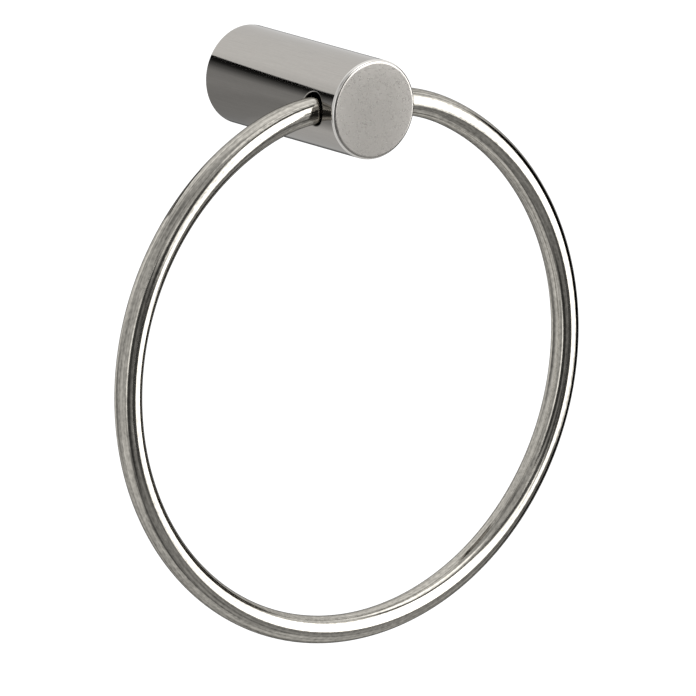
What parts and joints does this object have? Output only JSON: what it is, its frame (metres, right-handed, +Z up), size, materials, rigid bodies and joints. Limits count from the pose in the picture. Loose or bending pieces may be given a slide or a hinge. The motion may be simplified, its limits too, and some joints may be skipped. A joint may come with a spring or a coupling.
{
  "type": "towel ring",
  "caption": "Towel ring: a bent rod ring hung loosely through the cross hole of a round wall post, which slides over a hidden wall bush and locks with a grub screw.",
  "frame": {"origin": "middle of the post's rear face, where the wall screw's hole meets the wall", "axes": "+Y into the wall along the post, +Z up, +X to the right of someone facing the wall"},
  "size_m": [0.1632, 0.062, 0.1719],
  "materials": {
    "post_steel": "fine satin, turned and brushed",
    "ring_steel": "satin, brushed along the rod",
    "bush_steel": "as turned",
    "screw_steel": "plain machined"
  },
  "bodies": {
    "wall_post": {"post": "post_steel", "wall_bush": "bush_steel", "grub_screw": "screw_steel"},
    "hanging_ring": {"ring": "ring_steel"}
  },
  "joints": [
    {"name": "ring_swing", "type": "hinge", "parent": "wall_post", "child": "hanging_ring", "pos_m": [0, -0.0518, -0.00018], "axis": [-1, 0, 0], "range_deg": [-18, 198]}
  ]
}
